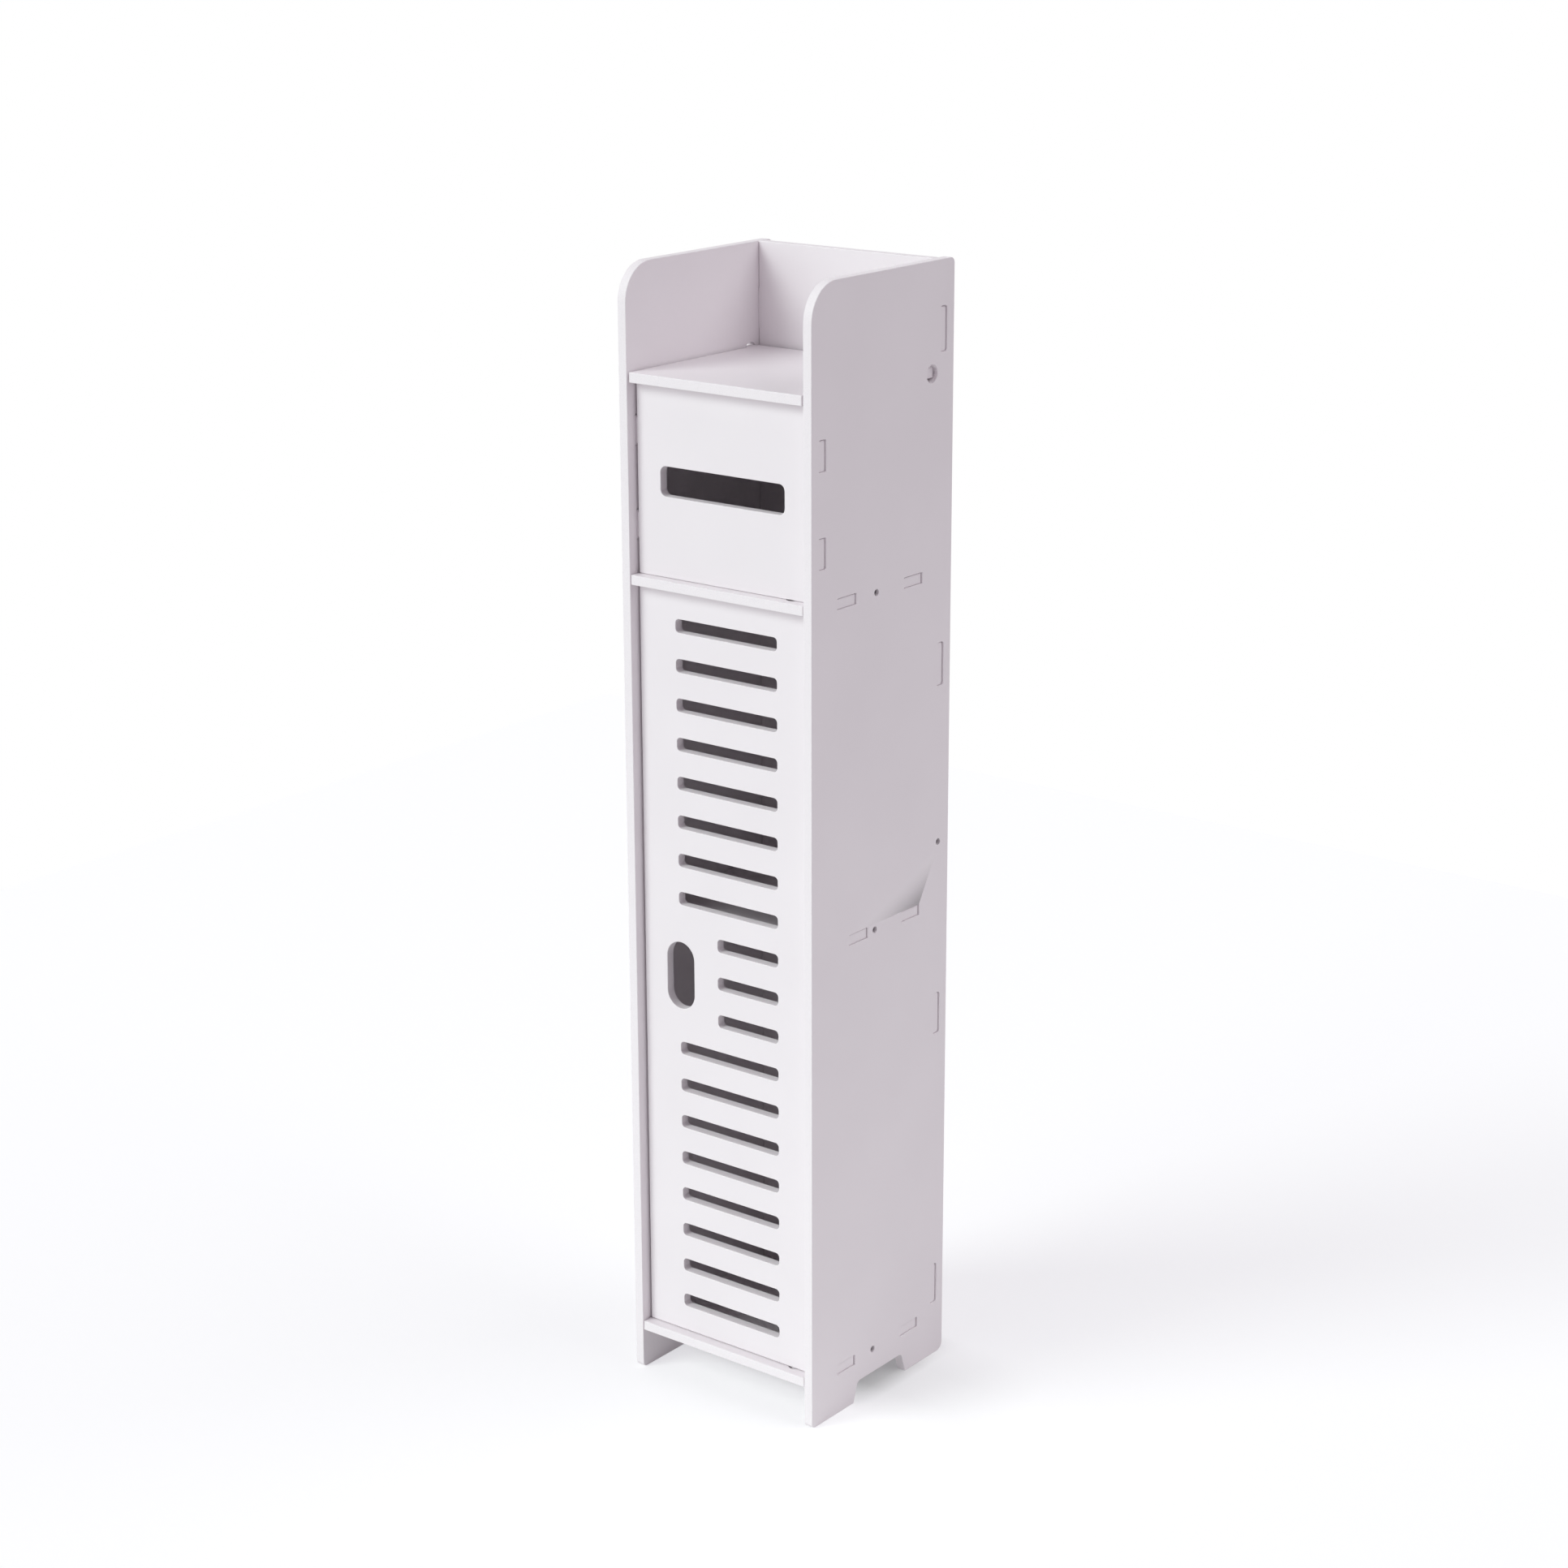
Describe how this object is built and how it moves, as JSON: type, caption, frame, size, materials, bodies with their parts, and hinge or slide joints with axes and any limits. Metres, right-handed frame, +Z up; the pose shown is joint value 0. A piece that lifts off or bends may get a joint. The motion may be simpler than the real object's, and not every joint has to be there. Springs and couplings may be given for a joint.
{
  "type": "toilet roll storage cabinet",
  "caption": "Slim free-standing white toilet roll cabinet with a lifting lid, a slot that feeds paper and a louvred storage door.",
  "frame": {"origin": "on the floor, under the middle of the cabinet's bounding box", "axes": "+Z up, +X to the right seen from the front, -Y to the front (the door's side)"},
  "size_m": [0.161, 0.157, 0.8],
  "materials": {
    "foam_board": "satin white skin on expanded PVC board, fine texture",
    "black_screw": "black oxide, dull",
    "screw_steel": "zinc plated, bright",
    "plated_steel": "nickel plated, satin",
    "catch_plastic": "moulded white plastic",
    "ferrite": "sintered dark grey magnet"
  },
  "bodies": {
    "cabinet": {"side_panel_left": "foam_board", "side_panel_right": "foam_board", "back_panel": "foam_board", "front_panel": "foam_board", "upper_shelf": "foam_board", "middle_shelf": "foam_board", "bottom_shelf": "foam_board", "upper_screw_left": "black_screw", "upper_screw_right": "black_screw", "middle_screw_left": "black_screw", "middle_screw_right": "black_screw", "bottom_screw_left": "black_screw", "bottom_screw_right": "black_screw", "back_screw_left": "black_screw", "back_screw_right": "black_screw", "catch_housing": "catch_plastic", "catch_magnet": "ferrite", "catch_pole_upper": "plated_steel", "catch_pole_lower": "plated_steel", "catch_screws": "screw_steel"},
    "lid": {"lid": "foam_board"},
    "door": {"door": "foam_board", "strike_plate": "plated_steel", "strike_screws": "screw_steel"}
  },
  "joints": [
    {"name": "lid_hinge", "type": "hinge", "parent": "cabinet", "child": "lid", "pos_m": [0, 0.0537, 0.725], "axis": [-1, 0, 0], "range_deg": [0, 94]},
    {"name": "door_hinge", "type": "hinge", "parent": "cabinet", "child": "door", "pos_m": [0.0568, -0.067, 0.31], "axis": [0, 0, 1], "range_deg": [0, 134]}
  ]
}
